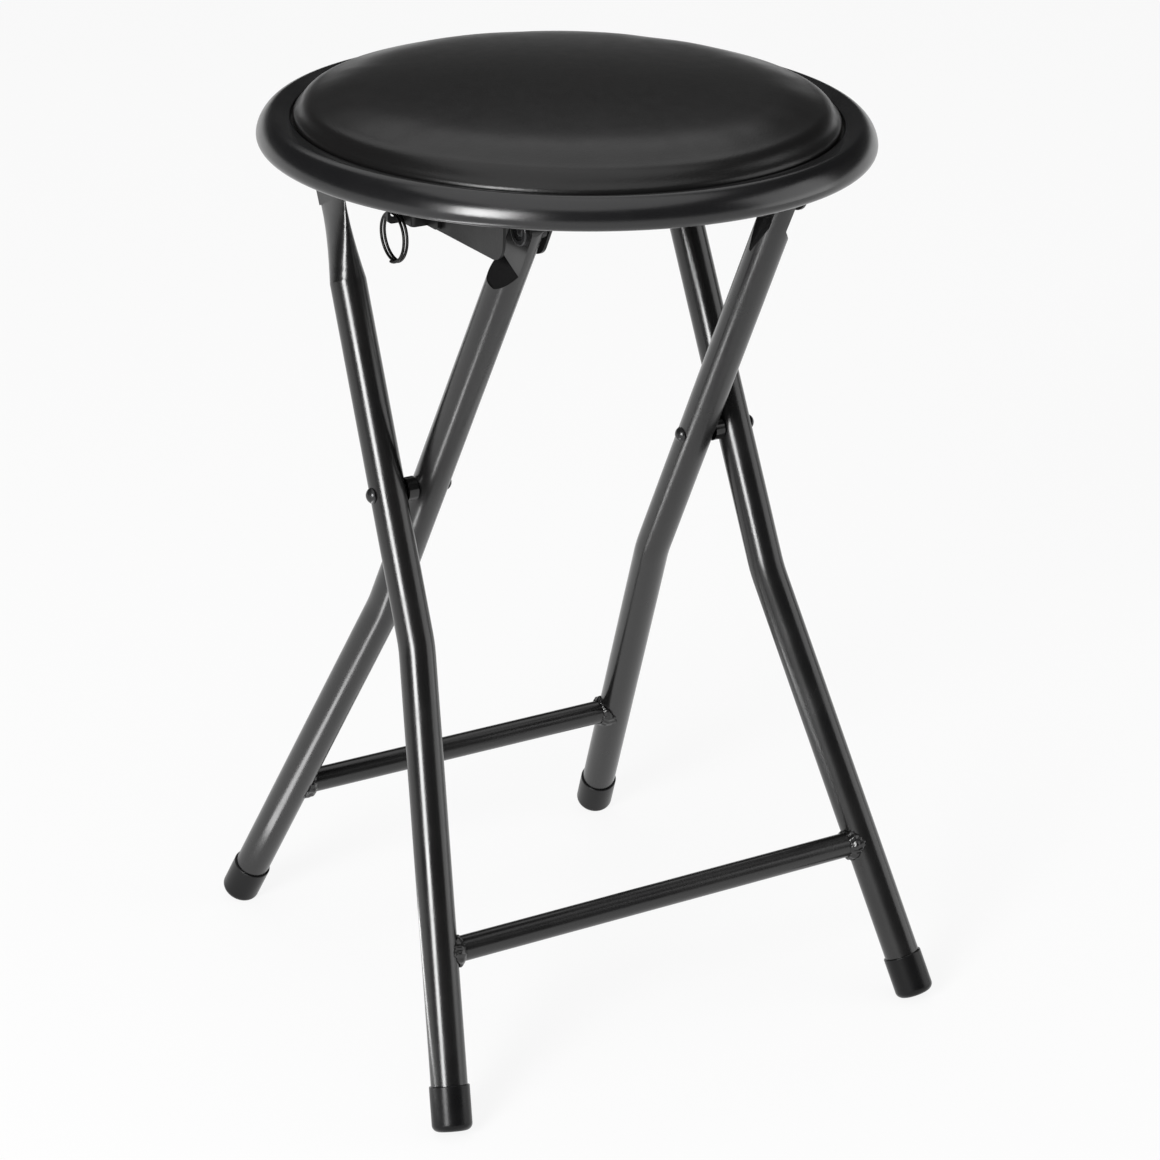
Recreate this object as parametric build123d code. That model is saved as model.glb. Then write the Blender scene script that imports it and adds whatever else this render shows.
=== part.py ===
from build123d import *
import os
from math import atan2, cos, pi, radians, sin, sqrt, tan

os.makedirs("parts", exist_ok=True)

# Frame: origin on the floor under the seat's centre, +Z up, +X along the leg pivots,
# -Y towards the front stretcher. All sizes in millimetres.

# Seat
SEAT_DIAMETER = 300.0
RIM_WIDTH = 17.5
RIM_HEIGHT = 18.0
RIM_DROP = 2.0
RIM_LIP_DIP = 1.6
RIM_LIP_ROUND = 1.0
RIM_CREST_WIDTH = 11.0
RIM_LOWER_ROUND = 4.5
BOARD_UNDERSIDE_Z = 443.0
BOARD_THICKNESS = 9.0
BOARD_LAP = 3.5
BOARD_FIT = 0.3
CUSHION_FIT = 0.3
CUSHION_WALL = 2.5
CUSHION_EDGE_WIDTH = 12.0
CUSHION_EDGE_RISE = 10.0
CUSHION_CROWN_RISE = 8.0
COVER_THICKNESS = 1.2

# Legs
TUBE_DIAMETER = 18.0
TUBE_WALL = 1.2
PIVOT_Z = 280.3
PIVOT_Y = -4.7
PIVOT_GAP = 5.3
OUTER_HALF_SPACING = 101.2
OUTER_LEAN = 25.50
OUTER_TAPER = 1.60
OUTER_SPLAY = 9.60
OUTER_BEND_Z = 212.0
INNER_LEAN = 27.25
INNER_TAPER = 1.72
INNER_SPLAY = 9.43
INNER_BEND_Z = 202.5
BEND_RADIUS = 75.0

# Flattened tops of the outer legs
FLAT_THICKNESS = 3.0
FLAT_WIDTH = 26.0
FLATTEN_LENGTH = 54.0
FLAT_LENGTH = 14.0
SQUEEZE_SECTIONS = 4
WIDEN_POWER = 1.4

# Pressed tops of the inner legs: flat outside, a pocket for the bush inside
WEB_THICKNESS = 3.0
FACE_LENGTH = 20.5
FACE_RAMP = 11.0
POCKET_WIDTH = 11.0
POCKET_LENGTH = 20.0
POCKET_RAMP = 22.0
TOP_ROUND_MARGIN = 1.0

# Stretchers and their welds
STRETCHER_DIAMETER = 12.7
STRETCHER_WALL = 1.0
OUTER_STRETCHER_Z = 78.4
INNER_STRETCHER_Z = 79.1
WELD_LEG = 2.2
WELD_LENGTH = 3.0

# Foot caps
CAP_DIAMETER = 19.8
CAP_LENGTH = 22.0
CAP_FLOOR = 4.0
CAP_ROUND = 3.5
CAP_LIP_ROUND = 0.5
CAP_FIT = 0.05
SOLE_FLAT = 0.6

# Rivets, bushes and studs
PIVOT_RIVET_DIAMETER = 5.0
PIVOT_HEAD_DIAMETER = 8.0
PIVOT_HEAD_HEIGHT = 2.6
SPACER_DIAMETER = 12.0
SPACER_FIT = 0.15
HINGE_DROP = 13.0
HINGE_RIVET_DIAMETER = 5.0
HINGE_HEAD_DIAMETER = 9.0
HINGE_HEAD_HEIGHT = 2.2
HINGE_FLANGE_DIAMETER = 13.4
HINGE_FLANGE_HEIGHT = 1.8
HINGE_FLANGE_ROUND = 0.8
HINGE_CUP_DIAMETER = 8.6
HINGE_CUP_DEPTH = 1.3
HINGE_CROWN_DIAMETER = 5.6
HINGE_CROWN_HEIGHT = 1.1
BUSH_DIAMETER = 9.6
BUSH_FIT = 0.2
RUNNING_FIT = 0.05
STUD_DROP = 19.5
STUD_DIAMETER = 8.0
STUD_SHOULDER_DIAMETER = 13.0
STUD_TENON_DIAMETER = 6.5
STUD_HEAD_DIAMETER = 11.0
STUD_HEAD_HEIGHT = 2.2
STUD_FIT = 0.3

# Rails
RAIL_SHEET = 1.5
RAIL_SIDE_CLEARANCE = 1.25
RAIL_DEPTH = 27.0
RAIL_BEND = 2.0
RAIL_OUTER_FRONT = -83.0
RAIL_FRONT_MARGIN = 5.4
RAIL_FRONT_ROUND = 9.0
RAIL_LIP = 11.5
RAIL_LIP_ROUND = 3.8
NOTCH_LENGTH = 19.0
NOTCH_ROUND = 0.5
NOTCH_FIT = 0.8
SCREW_PITCH = 40.0
SCREW_COUNT = 4
SCREW_DIAMETER = 3.5
SCREW_HEAD_DIAMETER = 7.5
SCREW_HEAD_HEIGHT = 2.2
SCREW_BITE = 7.0
SCREW_FIT = 0.3

# Latch plate, its guides and its spring, all on the left rail
LATCH_SIDE = -1
LATCH_SHEET = 2.0
LATCH_HEIGHT = 10.0
LATCH_RISE = 1.0
LATCH_GAP = 0.2
LATCH_FRONT = -27.0
HANDLE_FRONT = -17.0
HANDLE_REAR = 1.5
HANDLE_REACH = 8.0
HANDLE_BEND = 2.0
LATCH_TRAVEL = 8.0
NOSE_CLEARANCE = 0.7
SEAT_PER_LEG_TURN = 2.3
GUIDE_YS = (14.0, 34.0)
GUIDE_DIAMETER = 4.4
GUIDE_HEAD_DIAMETER = 8.0
GUIDE_HEAD_HEIGHT = 1.8
GUIDE_FIT = 0.3
ANCHOR_HEAD_DIAMETER = 6.4
EAR_Y = -6.0
EAR_REACH = 7.6
EAR_HOLE_DIAMETER = 5.4
EAR_HOLE_OFFSET = 3.6
EAR_HOLE_DROP = 4.4
EAR_ROUND = 2.5
SPRING_TAB_RISE = 8.5
SPRING_TAB_WIDTH = 5.5
ANCHOR_Y = 30.5
ANCHOR_FOOT = 9.0
ANCHOR_WIDTH = 7.5
SPRING_RISE = 4.8
SPRING_OFFSET = 3.4
SPRING_MEAN_RADIUS = 2.1
SPRING_WIRE = 0.8
SPRING_TURNS = 14
SPRING_END = 2.2
SPRING_END_BEND = 1.0

# Pull ring
RING_OUTER_DIAMETER = 25.0
RING_WIRE = 1.4
RING_PITCH = 1.85
RING_TURNS = 2
RING_FIT = 0.3

# Worked out from the sizes above
tube_r = TUBE_DIAMETER / 2
seat_r = SEAT_DIAMETER / 2
rim_inner_r = seat_r - RIM_WIDTH
rim_bottom_z = BOARD_UNDERSIDE_Z - RIM_DROP
board_r = rim_inner_r + BOARD_LAP
board_top_z = BOARD_UNDERSIDE_Z + BOARD_THICKNESS
inner_half_spacing = OUTER_HALF_SPACING - TUBE_DIAMETER - PIVOT_GAP
hinge_z = BOARD_UNDERSIDE_Z - HINGE_DROP
hinge_y = PIVOT_Y - (hinge_z - PIVOT_Z) * tan(radians(INNER_LEAN))
stud_z = BOARD_UNDERSIDE_Z - STUD_DROP
stud_y = PIVOT_Y + (stud_z - PIVOT_Z) * tan(radians(OUTER_LEAN))


class LegLine:
    """Centre line of one leg: straight above its bend, splayed outwards below it."""

    def __init__(self, side, half_spacing, lean, taper, splay, bend_z):
        self.side = side
        self.half_spacing = half_spacing
        self.slope_y = tan(radians(lean))
        self.taper = tan(radians(taper))
        self.splay = tan(radians(splay))
        self.bend_z = bend_z

    def half_x(self, z):
        upper = self.half_spacing + (PIVOT_Z - max(z, self.bend_z)) * self.taper
        return upper + max(0.0, self.bend_z - z) * self.splay

    def at(self, z):
        return Vector(self.side * self.half_x(z), PIVOT_Y + (z - PIVOT_Z) * self.slope_y, z)

    def up_top(self):
        return (self.at(PIVOT_Z) - self.at(self.bend_z)).normalized()

    def up_foot(self):
        return (self.at(self.bend_z) - self.at(0)).normalized()

    def cap_bottom(self):
        """Centre of the cap's underside, low enough that the sole is a small flat on the floor."""
        up = self.up_foot()
        tilt_sin = sqrt(1 - up.Z**2)
        edge_r = CAP_DIAMETER / 2 - CAP_ROUND
        return self.at(edge_r * tilt_sin + CAP_ROUND * (1 - up.Z) - SOLE_FLAT)


def outer_line(side):
    return LegLine(side, OUTER_HALF_SPACING, OUTER_LEAN, OUTER_TAPER, OUTER_SPLAY, OUTER_BEND_Z)


def inner_line(side):
    return LegLine(side, inner_half_spacing, -INNER_LEAN, INNER_TAPER, INNER_SPLAY, INNER_BEND_Z)


def bar_x(x0, x1, y, z, radius):
    """Round bar along X between two places on the X axis."""
    return Pos((x0 + x1) / 2, y, z) * Rot(0, 90, 0) * Cylinder(radius, abs(x1 - x0))


def block(x0, x1, y0, y1, z0, z1):
    return Pos((x0 + x1) / 2, (y0 + y1) / 2, (z0 + z1) / 2) * Box(abs(x1 - x0), y1 - y0, z1 - z0)


def plate_x(outline, x0, x1):
    """Flat plate from an outline in Y and Z, between two places on the X axis."""
    return extrude(Plane.YZ.offset(min(x0, x1)) * outline, abs(x1 - x0))


def outline_of(*edges):
    return make_face(Curve() + list(edges))


def dome_x(x, y, z, radius, height, side):
    """Rivet head: a domed cap standing on the plane at x, bulging towards side."""
    ball_r = (radius**2 + height**2) / (2 * height)
    half_angle = atan2(radius, ball_r - height) / 2
    middle = (height - ball_r * (1 - cos(half_angle)), ball_r * sin(half_angle))
    profile = outline_of(
        Line((0, 0), (0, radius)),
        ThreePointArc((0, radius), middle, (height, 0)),
        Line((height, 0), (0, 0)),
    )
    place = Plane((x, y, z), x_dir=(side, 0, 0), z_dir=(0, 0, 1))
    return revolve(place * profile, Axis((x, y, z), (1, 0, 0)))


def swept_bar(points, radius):
    path = FilletPolyline(*points, radius=BEND_RADIUS)
    return sweep(Plane(path @ 0, z_dir=path % 0) * Circle(radius), path)


def tube_foot(line):
    """Lower end of a leg's tube, on the floor of its foot cap."""
    return line.cap_bottom() + line.up_foot() * CAP_FLOOR


def rivet_holes(y, z, side, diameter):
    far = OUTER_HALF_SPACING * 2
    return bar_x(0, side * far, y, z, diameter / 2)


def outer_leg(side):
    """Bent tube whose top is squeezed flat, with a hole for the lock stud."""
    line = outer_line(side)
    up = line.up_top()
    stud = line.at(stud_z)
    tube_top = stud - up * FLATTEN_LENGTH
    foot = tube_foot(line)
    points = (foot, line.at(OUTER_BEND_Z), tube_top)
    tube = swept_bar(points, tube_r) - swept_bar(points, tube_r - TUBE_WALL)
    across = Vector(0, -up.Z, up.Y)
    half_flat = FLAT_WIDTH / 2
    squeeze_length = FLATTEN_LENGTH - FLAT_LENGTH
    sections = []
    for step in range(SQUEEZE_SECTIONS):
        along = step / (SQUEEZE_SECTIONS - 1)
        wide = tube_r + (half_flat - tube_r) * along**WIDEN_POWER
        thin = tube_r + (FLAT_THICKNESS / 2 - tube_r) * along
        place = Plane(tube_top + up * squeeze_length * along, x_dir=across, z_dir=up)
        sections.append(place * Ellipse(wide, thin))
    squeezed = loft(sections)
    flat_plane = Plane((0, stud_y, stud_z), x_dir=(1, 0, 0), z_dir=(0, up.Y, up.Z))
    strip = flat_plane * Pos(0, 0, -FLAT_LENGTH / 2) * Box(FLAT_THICKNESS, FLAT_WIDTH, FLAT_LENGTH)
    flat_end = bar_x(-FLAT_THICKNESS / 2, FLAT_THICKNESS / 2, stud_y, stud_z, half_flat)
    flat = Pos(stud.X, 0, 0) * (strip + flat_end)
    leg = tube + squeezed + flat
    leg -= rivet_holes(PIVOT_Y, PIVOT_Z, side, PIVOT_RIVET_DIAMETER)
    return leg - rivet_holes(stud_y, stud_z, side, STUD_TENON_DIAMETER)


def press_wedge(length, ramp):
    """What a press takes off one side of a tube's end, down to its web, with a ramp below."""
    reach = TUBE_DIAMETER
    half_web = WEB_THICKNESS / 2
    outline = Polyline(
        (half_web, 2 * reach), (half_web, -length), (tube_r, -length - ramp),
        (reach, -length - ramp), (reach, 2 * reach), close=True,
    )
    return extrude(Plane.XZ * make_face(outline), reach, both=True)


def inner_leg(side):
    """Bent tube whose top is pressed flat outside, with a pocket inside, rounded about the hinge."""
    line = inner_line(side)
    up = line.up_top()
    hinge = line.at(hinge_z)
    foot = tube_foot(line)
    bend = line.at(INNER_BEND_Z)
    bore_top = hinge - up * (POCKET_LENGTH + POCKET_RAMP + TUBE_WALL)
    top_round = tube_r + TOP_ROUND_MARGIN
    leg = swept_bar((foot, bend, hinge + up * TUBE_DIAMETER), tube_r)
    leg -= swept_bar((foot, bend, bore_top), tube_r - TUBE_WALL)
    end = Plane(hinge, x_dir=(1, 0, 0), z_dir=(0, up.Y, up.Z))
    reach = TUBE_DIAMETER
    half_pocket = POCKET_WIDTH / 2
    vee = Polyline(
        (-half_pocket, 2 * reach), (-half_pocket, -POCKET_LENGTH), (0, -POCKET_LENGTH - POCKET_RAMP),
        (half_pocket, -POCKET_LENGTH), (half_pocket, 2 * reach), close=True,
    )
    vee_prism = extrude(Plane.YZ * make_face(vee), reach)
    pocket = vee_prism & press_wedge(POCKET_LENGTH, POCKET_RAMP)
    leg -= end * mirror_to(press_wedge(FACE_LENGTH, FACE_RAMP), side)
    leg -= end * mirror_to(pocket, -side)
    end_block = Pos(0, 0, reach) * Box(2 * reach, 2 * reach, 2 * reach)
    end_trim = end_block - Rot(0, 90, 0) * Cylinder(top_round, 3 * reach)
    leg -= end * end_trim
    leg -= rivet_holes(PIVOT_Y, PIVOT_Z, side, PIVOT_RIVET_DIAMETER + 2 * RUNNING_FIT)
    return leg - rivet_holes(hinge_y, hinge_z, side, HINGE_RIVET_DIAMETER)


def foot_cap(line):
    """Cup pushed over the tube's end, rounded below and cut flat where it meets the floor."""
    bottom = line.cap_bottom()
    place = Plane(bottom, x_dir=(1, 0, 0), z_dir=line.up_foot())
    cup = Pos(0, 0, CAP_LENGTH / 2) * Cylinder(CAP_DIAMETER / 2, CAP_LENGTH)
    cup = fillet(cup.edges().sort_by(Axis.Z)[0], CAP_ROUND)
    cup = fillet(cup.edges().sort_by(Axis.Z)[-1], CAP_LIP_ROUND)
    socket_length = CAP_LENGTH - CAP_FLOOR
    socket = Pos(0, 0, CAP_FLOOR + socket_length / 2) * Cylinder(tube_r + CAP_FIT, socket_length)
    reach = 2 * CAP_LENGTH
    floor = block(bottom.X - reach, bottom.X + reach, bottom.Y - reach, bottom.Y + reach, -reach, 0)
    return place * (cup - socket) - floor


def stretcher(line_of, z):
    """Tube between the two legs of a pair, its ends shaped to the legs."""
    left = line_of(-1).at(z)
    right = line_of(1).at(z)
    bar = bar_x(left.X, right.X, left.Y, z, STRETCHER_DIAMETER / 2)
    bar -= bar_x(left.X, right.X, left.Y, z, STRETCHER_DIAMETER / 2 - STRETCHER_WALL)
    for side in (-1, 1):
        bar -= leg_stub(line_of(side))
    return bar


def leg_stub(line):
    """Solid round bar that fills the lower stretch of a leg."""
    foot = tube_foot(line)
    return swept_bar((foot, line.at(line.bend_z), line.at(PIVOT_Z)), tube_r)


def leg_stub_upper(line):
    """Solid round bar that fills a leg round its pivot."""
    low = line.at(PIVOT_Z - TUBE_DIAMETER)
    high = line.at(PIVOT_Z + TUBE_DIAMETER)
    run = high - low
    return Plane(low, z_dir=run) * Pos(0, 0, run.length / 2) * Cylinder(tube_r, run.length)


def welds(line_of, z):
    """Fillet weld round each end of a stretcher, shaped to the leg."""
    beads = []
    bar_r = STRETCHER_DIAMETER / 2
    for side in (-1, 1):
        line = line_of(side)
        leg = line.at(z)
        crest = abs(leg.X) - tube_r
        toe_r = bar_r + WELD_LEG
        cone = Rot(0, 90 * side, 0) * Cone(bar_r, toe_r, WELD_LENGTH)
        bead = Pos(side * (crest - WELD_LENGTH / 2), leg.Y, z) * cone
        bead += bar_x(side * crest, leg.X, leg.Y, z, toe_r)
        bead -= bar_x(0, 2 * leg.X, leg.Y, z, bar_r)
        bead -= leg_stub(line)
        beads.append(bead.solids().sort_by_distance((0, leg.Y, z))[0])
    return Compound(children=beads)


def pivot_rivet(side):
    outer_face = OUTER_HALF_SPACING + tube_r + SPACER_FIT
    inner_face = inner_half_spacing - tube_r
    rivet = bar_x(side * inner_face, side * outer_face, PIVOT_Y, PIVOT_Z, PIVOT_RIVET_DIAMETER / 2)
    head_r = PIVOT_HEAD_DIAMETER / 2
    rivet += dome_x(side * outer_face, PIVOT_Y, PIVOT_Z, head_r, PIVOT_HEAD_HEIGHT, side)
    tail_face = inner_face - SPACER_FIT
    rivet += bar_x(side * tail_face, side * inner_face, PIVOT_Y, PIVOT_Z, PIVOT_RIVET_DIAMETER / 2)
    return rivet + dome_x(side * tail_face, PIVOT_Y, PIVOT_Z, head_r, PIVOT_HEAD_HEIGHT, -side)


def pivot_spacer(side):
    inner = inner_half_spacing + tube_r + SPACER_FIT
    outer = OUTER_HALF_SPACING - tube_r
    spacer = bar_x(side * inner, side * outer, PIVOT_Y, PIVOT_Z, SPACER_DIAMETER / 2)
    spacer -= rivet_holes(PIVOT_Y, PIVOT_Z, side, PIVOT_RIVET_DIAMETER)
    return spacer - leg_stub_upper(outer_line(side))


def rail_front(z):
    """Front edge of a rail's inner flange, which runs along the inner leg in front of the hinge."""
    lean = radians(INNER_LEAN)
    return hinge_y - RAIL_FRONT_MARGIN / cos(lean) - (z - hinge_z) * tan(lean)


# Places of the rails, worked out from the inner legs that turn between their flanges
rail_mid_x = inner_line(1).half_x(hinge_z)
flange_inner_x = rail_mid_x - tube_r - RAIL_SIDE_CLEARANCE
flange_outer_x = rail_mid_x + tube_r + RAIL_SIDE_CLEARANCE
rail_face_x = flange_outer_x + RAIL_SHEET
rail_bottom_z = BOARD_UNDERSIDE_Z - RAIL_DEPTH
rail_front_y = rail_front(BOARD_UNDERSIDE_Z)
rail_rear_y = stud_y + STUD_DIAMETER / 2 + NOTCH_FIT + RAIL_LIP
screw_ys = [(i - (SCREW_COUNT - 1) / 2) * SCREW_PITCH for i in range(SCREW_COUNT)]

# Places of the latch plate, on the outer face of the left rail
latch_in_x = rail_face_x + LATCH_GAP
latch_out_x = latch_in_x + LATCH_SHEET
latch_bottom_z = rail_bottom_z + LATCH_RISE
latch_top_z = latch_bottom_z + LATCH_HEIGHT
latch_mid_z = (latch_bottom_z + latch_top_z) / 2
handle_in_x = latch_out_x + HANDLE_REACH - LATCH_SHEET
handle_out_x = latch_out_x + HANDLE_REACH
ear_hole_x = handle_out_x + EAR_HOLE_OFFSET
ear_hole_z = latch_top_z - EAR_HOLE_DROP
spring_x = rail_face_x + SPRING_OFFSET
spring_z = latch_top_z + SPRING_RISE
anchor_hole_y = ANCHOR_Y + LATCH_SHEET + ANCHOR_FOOT / 2
flat_in_x = outer_line(1).half_x(stud_z) - FLAT_THICKNESS / 2


def flanged_head(side, x):
    """Wide rivet head on the leg's flat face: a rounded flange round a cup with a small crown in it."""
    top = x + HINGE_FLANGE_HEIGHT
    cup_floor = top - HINGE_CUP_DEPTH
    head = bar_x(side * x, side * top, hinge_y, hinge_z, HINGE_FLANGE_DIAMETER / 2)
    outside = head.edges().filter_by(GeomType.CIRCLE).sort_by(Axis.X)
    head = fillet(outside[-1] if side > 0 else outside[0], HINGE_FLANGE_ROUND)
    head -= bar_x(side * cup_floor, side * top, hinge_y, hinge_z, HINGE_CUP_DIAMETER / 2)
    crown_r = HINGE_CROWN_DIAMETER / 2
    return head + dome_x(side * cup_floor, hinge_y, hinge_z, crown_r, HINGE_CROWN_HEIGHT, side)


def hinge_rivet(side):
    """Rivet through the pressed web, the bush and the rail's inner flange."""
    web_out = rail_mid_x + WEB_THICKNESS / 2
    flange_face = flange_inner_x - RAIL_SHEET - BUSH_FIT
    head_r = HINGE_HEAD_DIAMETER / 2
    rivet = bar_x(side * flange_face, side * web_out, hinge_y, hinge_z, HINGE_RIVET_DIAMETER / 2)
    rivet += flanged_head(side, web_out)
    return rivet + dome_x(side * flange_face, hinge_y, hinge_z, head_r, HINGE_HEAD_HEIGHT, -side)


def hinge_bush(side):
    web_in = rail_mid_x - WEB_THICKNESS / 2
    bush = bar_x(side * (flange_inner_x + BUSH_FIT), side * web_in, hinge_y, hinge_z, BUSH_DIAMETER / 2)
    return bush - rivet_holes(hinge_y, hinge_z, side, HINGE_RIVET_DIAMETER)


def lock_stud(side):
    """Shouldered stud riveted into the flattened top; the rail's notch sits on its neck."""
    neck_end = latch_out_x + LATCH_GAP + STUD_FIT
    flat_out_x = flat_in_x + FLAT_THICKNESS
    stud = bar_x(side * flange_outer_x, side * neck_end, stud_y, stud_z, STUD_DIAMETER / 2)
    stud += bar_x(side * neck_end, side * flat_in_x, stud_y, stud_z, STUD_SHOULDER_DIAMETER / 2)
    stud += bar_x(side * flat_in_x, side * flat_out_x, stud_y, stud_z, STUD_TENON_DIAMETER / 2)
    head_r = STUD_HEAD_DIAMETER / 2
    return stud + dome_x(side * flat_out_x, stud_y, stud_z, head_r, STUD_HEAD_HEIGHT, side)


def outer_flange_outline():
    """Outer flange seen from the side: rounded front corner, notch over the lock stud, rear lip."""
    notch_r = STUD_DIAMETER / 2 + NOTCH_FIT
    notch_top = stud_z + notch_r
    notch_rear = stud_y + notch_r
    notch_front = notch_rear - NOTCH_LENGTH
    blank = Polyline(
        (RAIL_OUTER_FRONT, BOARD_UNDERSIDE_Z), (RAIL_OUTER_FRONT, rail_bottom_z),
        (rail_rear_y, rail_bottom_z), (rail_rear_y, BOARD_UNDERSIDE_Z), close=True,
    )
    blank = make_face(blank)
    low = blank.vertices().group_by(Axis.Y)[0]
    blank = fillet(low.sort_by(Axis.X)[0], RAIL_FRONT_ROUND)
    low = blank.vertices().group_by(Axis.Y)[0]
    blank = fillet(low.sort_by(Axis.X)[-1], RAIL_LIP_ROUND)
    notch = Pos((notch_front + notch_rear) / 2, notch_top - RAIL_DEPTH / 2) * Rectangle(
        notch_rear - notch_front, RAIL_DEPTH
    )
    notch = fillet(notch.vertices().group_by(Axis.Y)[-1], NOTCH_ROUND)
    return blank - notch


def inner_flange_outline():
    """Inner flange seen from the side: it carries the hinge rivet, and slants behind the leg in front."""
    blank = make_face(Polyline(
        (rail_front_y, BOARD_UNDERSIDE_Z), (rail_front(rail_bottom_z), rail_bottom_z),
        (rail_rear_y, rail_bottom_z), (rail_rear_y, BOARD_UNDERSIDE_Z), close=True,
    ))
    low = blank.vertices().group_by(Axis.Y)[0]
    blank = fillet(low, RAIL_FRONT_ROUND)
    return blank - Pos(hinge_y, hinge_z) * Circle(HINGE_RIVET_DIAMETER / 2 + RUNNING_FIT)


def rail(side):
    """Inverted channel of sheet steel, screwed under the seat board."""
    outer = plate_x(outer_flange_outline(), flange_outer_x, rail_face_x)
    inner = plate_x(inner_flange_outline(), flange_inner_x - RAIL_SHEET, flange_inner_x)
    web_z = BOARD_UNDERSIDE_Z - RAIL_SHEET
    back_x = flange_inner_x - RAIL_SHEET
    web = block(back_x, rail_face_x, rail_front_y, rail_rear_y, web_z, BOARD_UNDERSIDE_Z)
    channel = web + outer + inner
    bends = channel.edges().filter_by(Axis.Y).group_by(Axis.Z)[-1].sort_by(Axis.X)
    channel = fillet([bends[0], bends[-1]], RAIL_BEND)
    for y in screw_ys:
        hole = Cylinder(SCREW_DIAMETER / 2 + SCREW_FIT, 4 * RAIL_SHEET)
        channel -= Pos(rail_mid_x, y, web_z) * hole
    if side != LATCH_SIDE:
        return mirror_to(channel, side)
    for y in GUIDE_YS:
        channel -= latch_rivet_hole(y, latch_mid_z)
    channel -= latch_rivet_hole(anchor_hole_y, spring_z)
    return mirror_to(channel, side)


def latch_rivet_hole(y, z):
    """Hole through the rail's outer flange and what is riveted to it."""
    return bar_x(flange_outer_x - RAIL_SHEET, rail_face_x + 2 * RAIL_SHEET, y, z, GUIDE_DIAMETER / 2)


def mirror_to(shape, side):
    """The shape as it is on the right of the stool, or its mirror image on the left."""
    return shape if side > 0 else mirror(shape, about=Plane.YZ)


def rail_screws():
    """Pan-head screws up through the webs of both rails into the board."""
    screws = []
    head_top = BOARD_UNDERSIDE_Z - RAIL_SHEET
    for side in (-1, 1):
        for y in screw_ys:
            head = Cylinder(SCREW_HEAD_DIAMETER / 2, SCREW_HEAD_HEIGHT)
            head = fillet(head.edges().sort_by(Axis.Z)[0], SCREW_HEAD_HEIGHT / 2)
            head = Pos(0, 0, -SCREW_HEAD_HEIGHT / 2) * head
            shank_length = RAIL_SHEET + SCREW_BITE
            shank = Pos(0, 0, shank_length / 2) * Cylinder(SCREW_DIAMETER / 2, shank_length)
            screws.append(Pos(side * rail_mid_x, y, head_top) * (head + shank))
    return Compound(children=screws)


def latch_plate():
    """Slide bolt bent from strip: front foot, raised handle with an ear, run back to a bevelled nose."""
    hinge_arm = (hinge_y - PIVOT_Y, hinge_z - PIVOT_Z)
    stud_arm = (stud_y - hinge_y, stud_z - hinge_z)
    turn = SEAT_PER_LEG_TURN - 1
    leave_y = -hinge_arm[1] + turn * stud_arm[1]
    leave_z = hinge_arm[0] - turn * stud_arm[0]
    nose_gap = (STUD_DIAMETER / 2 + NOSE_CLEARANCE) * sqrt(leave_y**2 + leave_z**2) / -leave_z
    nose_lean = leave_y / leave_z
    nose_mid = stud_y - nose_gap + (latch_mid_z - stud_z) * nose_lean
    half = LATCH_HEIGHT / 2
    strip = make_face(Polyline(
        (LATCH_FRONT, latch_bottom_z), (nose_mid - half * nose_lean, latch_bottom_z),
        (nose_mid + half * nose_lean, latch_top_z), (LATCH_FRONT, latch_top_z), close=True,
    ))
    front = strip.vertices().group_by(Axis.X)[0]
    strip = fillet(front, EAR_ROUND)
    for y in GUIDE_YS:
        slot_width = GUIDE_DIAMETER + 2 * GUIDE_FIT
        slot = SlotOverall(LATCH_TRAVEL + slot_width, slot_width)
        strip -= Pos(y + LATCH_TRAVEL / 2, latch_mid_z) * slot
    plate = plate_x(strip, latch_in_x, latch_out_x)
    inside_rear = HANDLE_REAR - LATCH_SHEET
    inside_front = HANDLE_FRONT + LATCH_SHEET
    z_pair = (latch_bottom_z, latch_top_z)
    hump = block(latch_in_x, handle_out_x, HANDLE_FRONT, HANDLE_REAR, *z_pair)
    hump -= block(latch_in_x, handle_in_x, inside_front, inside_rear, *z_pair)
    corners = hump.edges().filter_by(Axis.Z).group_by(Axis.X)[-1]
    hump = fillet(corners, HANDLE_BEND)
    plate -= block(latch_in_x, latch_out_x, inside_front, inside_rear, *z_pair)
    plate += hump
    tab_top = latch_top_z + SPRING_TAB_RISE
    tab_x = spring_x - SPRING_TAB_WIDTH / 2
    tab = block(tab_x, tab_x + SPRING_TAB_WIDTH, inside_rear, HANDLE_REAR, latch_top_z, tab_top)
    plate += tab
    return mirror_to(plate + latch_ear(), LATCH_SIDE)


def latch_ear():
    """Ear that stands out from the handle, with the hole for the pull ring."""
    reach = handle_out_x + EAR_REACH
    half = LATCH_SHEET / 2
    ear = block(handle_in_x, reach, EAR_Y - half, EAR_Y + half, latch_bottom_z, latch_top_z)
    ear = fillet(ear.edges().filter_by(Axis.Y).group_by(Axis.X)[-1], EAR_ROUND)
    hole = Rot(90, 0, 0) * Cylinder(EAR_HOLE_DIAMETER / 2, 2 * LATCH_SHEET)
    return ear - Pos(ear_hole_x, EAR_Y, ear_hole_z) * hole


def guide_rivets():
    """Shouldered rivets on the rail that the latch plate's slots run on."""
    rivets = []
    head_x = latch_out_x + LATCH_GAP
    for y in GUIDE_YS:
        shank = bar_x(flange_outer_x, head_x, y, latch_mid_z, GUIDE_DIAMETER / 2)
        head = dome_x(head_x, y, latch_mid_z, GUIDE_HEAD_DIAMETER / 2, GUIDE_HEAD_HEIGHT, 1)
        rivets.append(mirror_to(shank + head, LATCH_SIDE))
    return Compound(children=rivets)


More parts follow.
